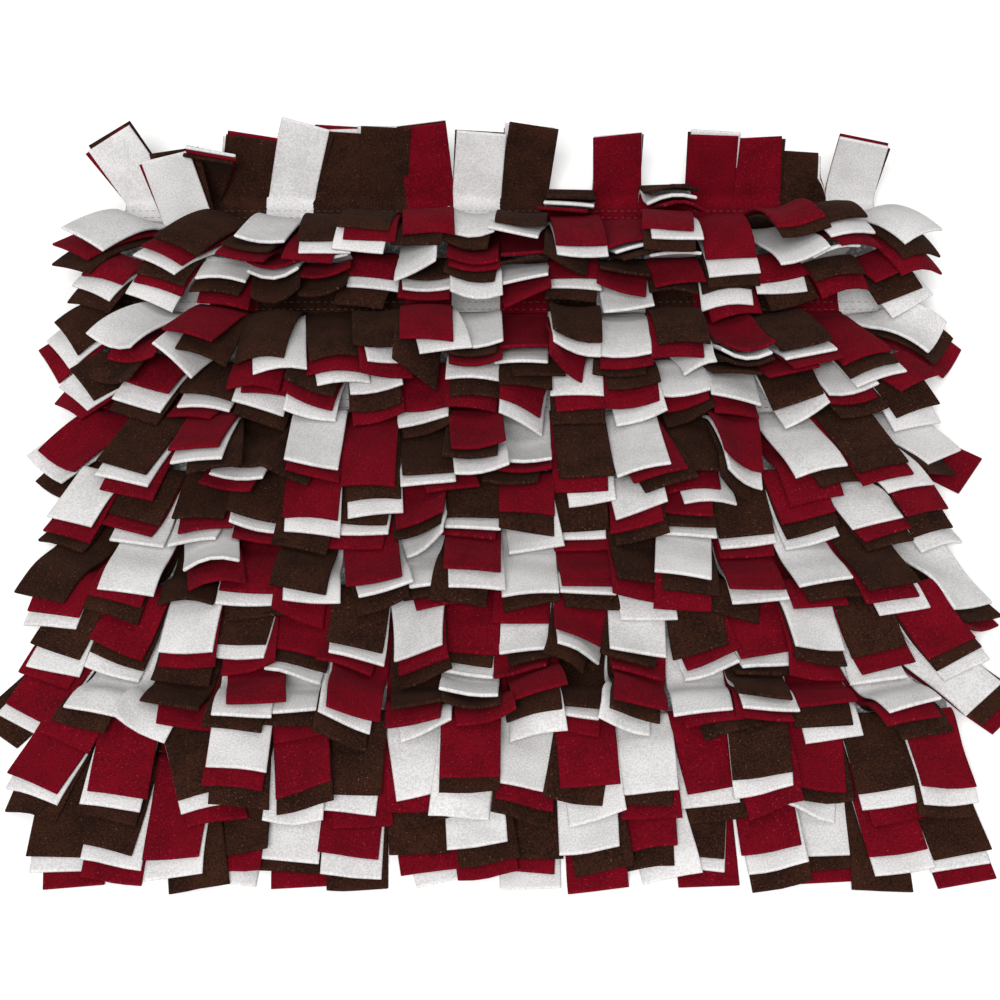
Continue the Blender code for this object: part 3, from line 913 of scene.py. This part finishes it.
# Bonded polyester sewing thread: it is smooth and slightly glossy, with the twist too fine to show.
def makeThread(name, dark, pale):
    material, tree = newMaterial(name)
    place = addNode(tree, "ShaderNodeTexCoord").outputs["Object"]
    turns = {"Vector": place, "Scale": 1000 * threadLook["turnsPerMm"], "Detail": 1.0}
    twist = addNode(tree, "ShaderNodeTexNoise", turns).outputs["Fac"]
    ramp = addNode(tree, "ShaderNodeValToRGB", {"Fac": twist})
    ramp.color_ramp.elements[0].color = linear(dark)
    ramp.color_ramp.elements[1].color = linear(pale)
    finishMaterial(tree, ramp.outputs["Color"], twist, threadLook)
    return material


brownThread = makeThread("brown_polyester_thread", "#2A1D18", "#4A3830")
greyThread = makeThread("grey_polyester_thread", "#8E928F", "#C6C9C6")

stitchTree = bpy.data.node_groups.new("stitchLines", "GeometryNodeTree")
sockets = stitchTree.interface
sockets.new_socket("Lines", in_out="INPUT", socket_type="NodeSocketGeometry")
socketKinds = {"Pitch": "Float", "Length": "Float", "Thread": "Float", "Tilt": "Float", "Yarn": "Material"}
socketNames = {}
for name, kind in socketKinds.items():
    socketNames[name] = sockets.new_socket(name, in_out="INPUT", socket_type="NodeSocket" + kind).identifier
sockets.new_socket("Stitches", in_out="OUTPUT", socket_type="NodeSocketGeometry")
given = addNode(stitchTree, "NodeGroupInput").outputs
curve = addNode(stitchTree, "GeometryNodeMeshToCurve", {"Mesh": given["Lines"]})
spaced = addNode(
    stitchTree,
    "GeometryNodeResampleCurve",
    {"Curve": curve.outputs["Curve"], "Length": given["Pitch"]},
    mode="LENGTH",
)
bead = addNode(
    stitchTree,
    "GeometryNodeMeshUVSphere",
    {"Segments": stitches["sides"], "Rings": stitches["rings"], "Radius": 0.5},
)
lengthAndWidths = {"X": given["Length"], "Y": given["Thread"], "Z": given["Thread"]}
size = addNode(stitchTree, "ShaderNodeCombineXYZ", lengthAndWidths)
tangent = addNode(stitchTree, "GeometryNodeInputTangent").outputs["Tangent"]
along = addNode(stitchTree, "FunctionNodeAlignRotationToVector", {"Vector": tangent}, axis="X")
turned = addNode(stitchTree, "ShaderNodeCombineXYZ", {"Z": given["Tilt"]})
tilted = addNode(
    stitchTree,
    "FunctionNodeRotateRotation",
    {"Rotation": along.outputs["Rotation"], "Rotate By": turned.outputs["Vector"]},
    rotation_space="LOCAL",
)
sewn = addNode(
    stitchTree,
    "GeometryNodeInstanceOnPoints",
    {
        "Points": spaced.outputs["Curve"],
        "Instance": bead.outputs["Mesh"],
        "Rotation": tilted.outputs["Rotation"],
        "Scale": size.outputs["Vector"],
    },
)
real = addNode(stitchTree, "GeometryNodeRealizeInstances", {"Geometry": sewn.outputs["Instances"]})
undyed = {"Geometry": real.outputs["Geometry"], "Material": given["Yarn"]}
dyed = addNode(stitchTree, "GeometryNodeSetMaterial", undyed)
addNode(stitchTree, "NodeGroupOutput", {"Stitches": dyed.outputs["Geometry"]})


def sew(name, lines, tilt, yarn):
    # lines: each a list of points that the stitches follow
    lineMesh = bpy.data.meshes.new(name + "_lines")
    points = [point for line in lines for point in line]
    ends = np.cumsum([len(line) for line in lines])
    lineMesh.from_pydata(points, [(i, i + 1) for i in range(len(points) - 1) if i + 1 not in ends], [])
    lineObject = bpy.data.objects.new(name + "_lines", lineMesh)
    bpy.context.scene.collection.objects.link(lineObject)
    modifier = lineObject.modifiers.new("stitches", "NODES")
    modifier.node_group = stitchTree
    values = {"Pitch": stitches["pitch"], "Length": stitches["length"], "Thread": stitches["thread"]}
    for key, value in {**values, "Tilt": math.radians(tilt), "Yarn": yarn}.items():
        modifier[socketNames[key]] = value
    lineObject.update_tag()
    graph = bpy.context.evaluated_depsgraph_get()
    sewnMesh = bpy.data.meshes.new_from_object(lineObject.evaluated_get(graph))
    bpy.data.objects.remove(lineObject)
    sewnMesh.name = name
    sewnMesh.polygons.foreach_set("use_smooth", [True] * len(sewnMesh.polygons))
    piece = bpy.data.objects.new(name, sewnMesh)
    bpy.context.scene.collection.objects.link(piece)
    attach(piece, "root")
    print(name, len(sewnMesh.polygons), "faces")


seamTop = seams["low"] + seams["thick"] + stitches["thread"] * (0.5 - stitches["sunkInPile"])
halfSeam = seams["columns"] * seams["columnPitch"] / 2
seamLines = []
for row in range(seams["rows"]):
    for side in (-1, 1):
        y = rowY(row) + side * stitches["seamGap"]
        seamLines.append([(-halfSeam, y, seamTop), (halfSeam, y, seamTop)])
sew("seam_stitches", seamLines, 0, brownThread)
edgeTop = thick + stitches["thread"] * (0.5 - stitches["sunk"])
edgeX, edgeY = width / 2 - stitches["edgeGap"], depth / 2 - stitches["edgeGap"]
ring = [(-edgeX, -edgeY), (edgeX, -edgeY), (edgeX, edgeY), (-edgeX, edgeY), (-edgeX, -edgeY)]
edgeLine = [(x, y, edgeTop) for x, y in ring]
sew("base_edge_stitches", [edgeLine], stitches["edgeTilt"], greyThread)
